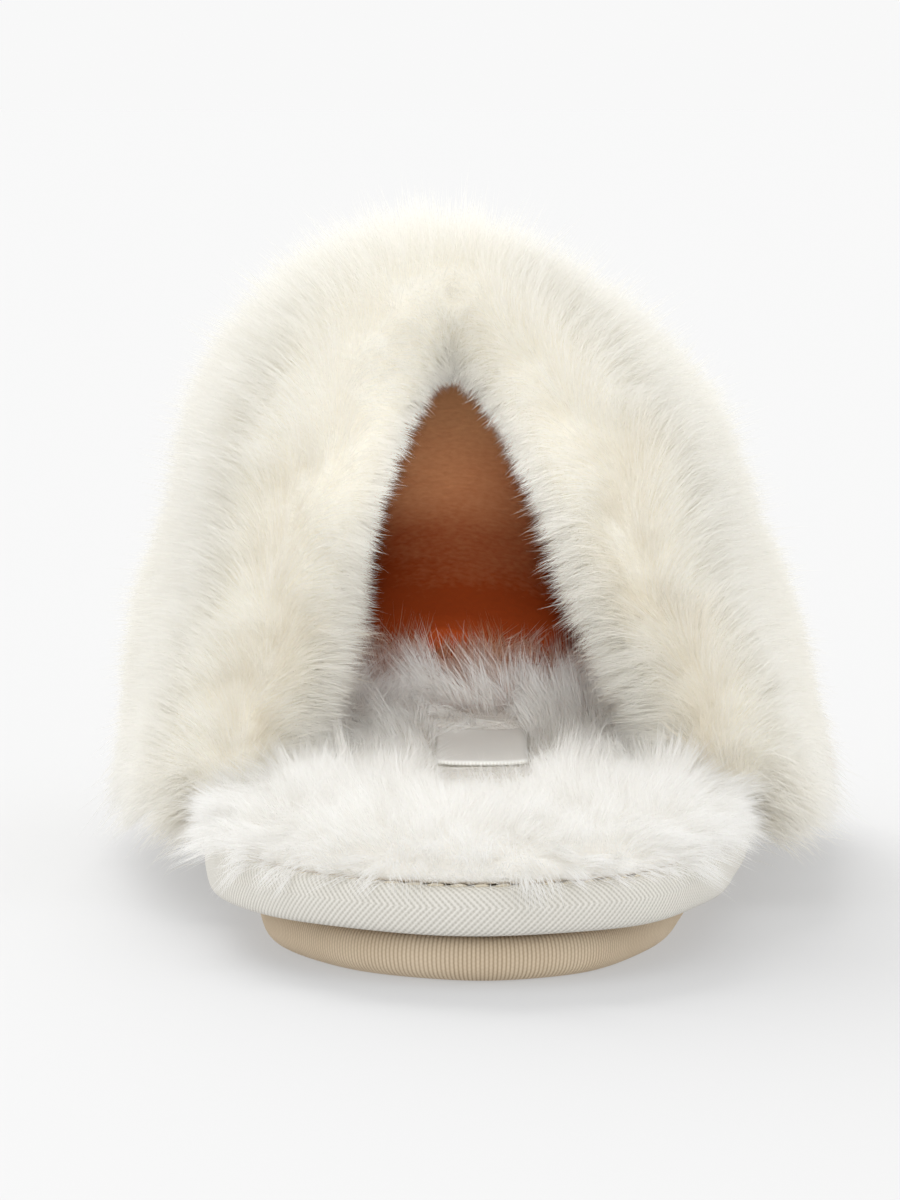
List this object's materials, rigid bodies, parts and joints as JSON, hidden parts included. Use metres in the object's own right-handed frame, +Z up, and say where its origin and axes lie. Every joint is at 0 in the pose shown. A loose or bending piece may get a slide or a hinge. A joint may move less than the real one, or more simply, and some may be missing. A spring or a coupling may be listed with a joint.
{
  "type": "house slipper",
  "caption": "Backless house slipper for a right foot: long-pile fur upper with an open tent-shaped collar, fur insole, taped edge and a soft fabric-wrapped sole.",
  "frame": {"origin": "centre of the footprint, on the floor", "axes": "+Y from heel to toe, +X to the outer side of the foot, +Z up"},
  "size_m": [0.1114, 0.2583, 0.0939],
  "materials": {
    "sole_knit": "beige ribbed knit stretched over foam, matt",
    "edge_tape": "white herringbone twill tape",
    "insole_fur": "fine white fur pile",
    "lining": "rust-brown brushed cloth",
    "upper_fur": "long cream fur pile, soft sheen",
    "label_cloth": "plain white woven tab"
  },
  "bodies": {
    "root": {"outsole": "sole_knit", "binding": "edge_tape", "insole": "insole_fur", "upper": "lining", "upper_fur": "upper_fur", "label": "label_cloth"}
  },
  "joints": []
}
